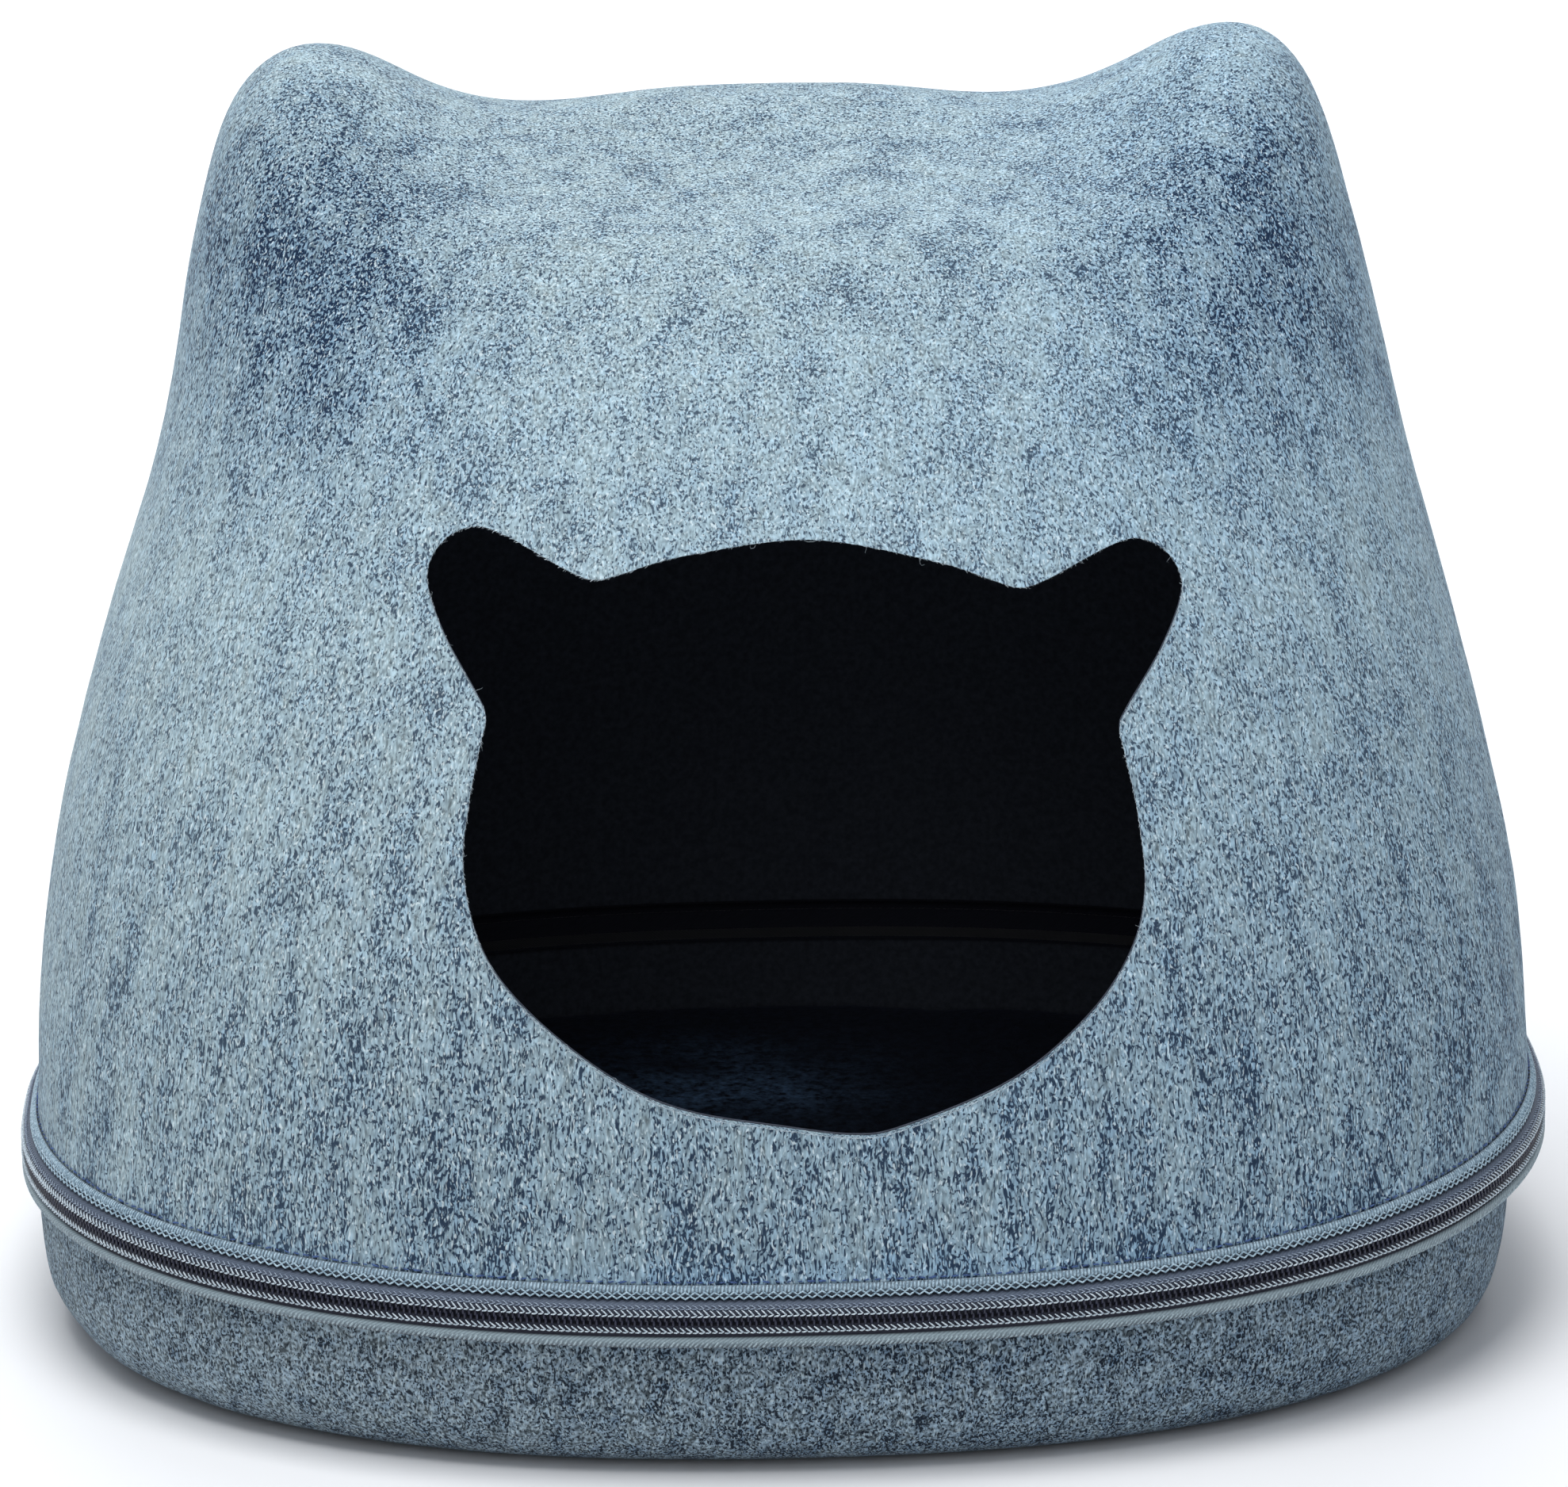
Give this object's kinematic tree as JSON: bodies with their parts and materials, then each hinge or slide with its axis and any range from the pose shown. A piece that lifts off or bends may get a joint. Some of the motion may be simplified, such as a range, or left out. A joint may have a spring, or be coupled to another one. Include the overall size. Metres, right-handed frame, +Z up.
{
  "type": "felt cat cave",
  "caption": "Moulded felt hood with two blunt ears and a cat-head-shaped entrance, joined by a zip all round to a shallow felt tray with a floor pad.",
  "frame": {"origin": "centre of the base's bounding box, on the surface that the cave rests on", "axes": "+Z up, -Y out of the entrance, +X to the right of someone who faces the entrance"},
  "size_m": [0.478, 0.4192, 0.394],
  "materials": {
    "grey_felt": "heathered needle felt, matt and slightly hairy",
    "dark_lining": "short brushed knit, matt",
    "dark_plush": "short soft pile",
    "ribbed_braid": "ribbed woven braid",
    "zip_tape": "close woven tape",
    "zip_coil": "drawn nylon, satin"
  },
  "bodies": {
    "root": {"hood_felt": "grey_felt", "tray_felt": "grey_felt", "hood_lining": "dark_lining", "tray_lining": "dark_lining", "floor_pad": "dark_plush", "hood_braid": "ribbed_braid", "zip_tape_upper": "zip_tape", "zip_tape_lower": "zip_tape", "zip_coil_upper": "zip_coil", "zip_coil_lower": "zip_coil"}
  },
  "joints": []
}
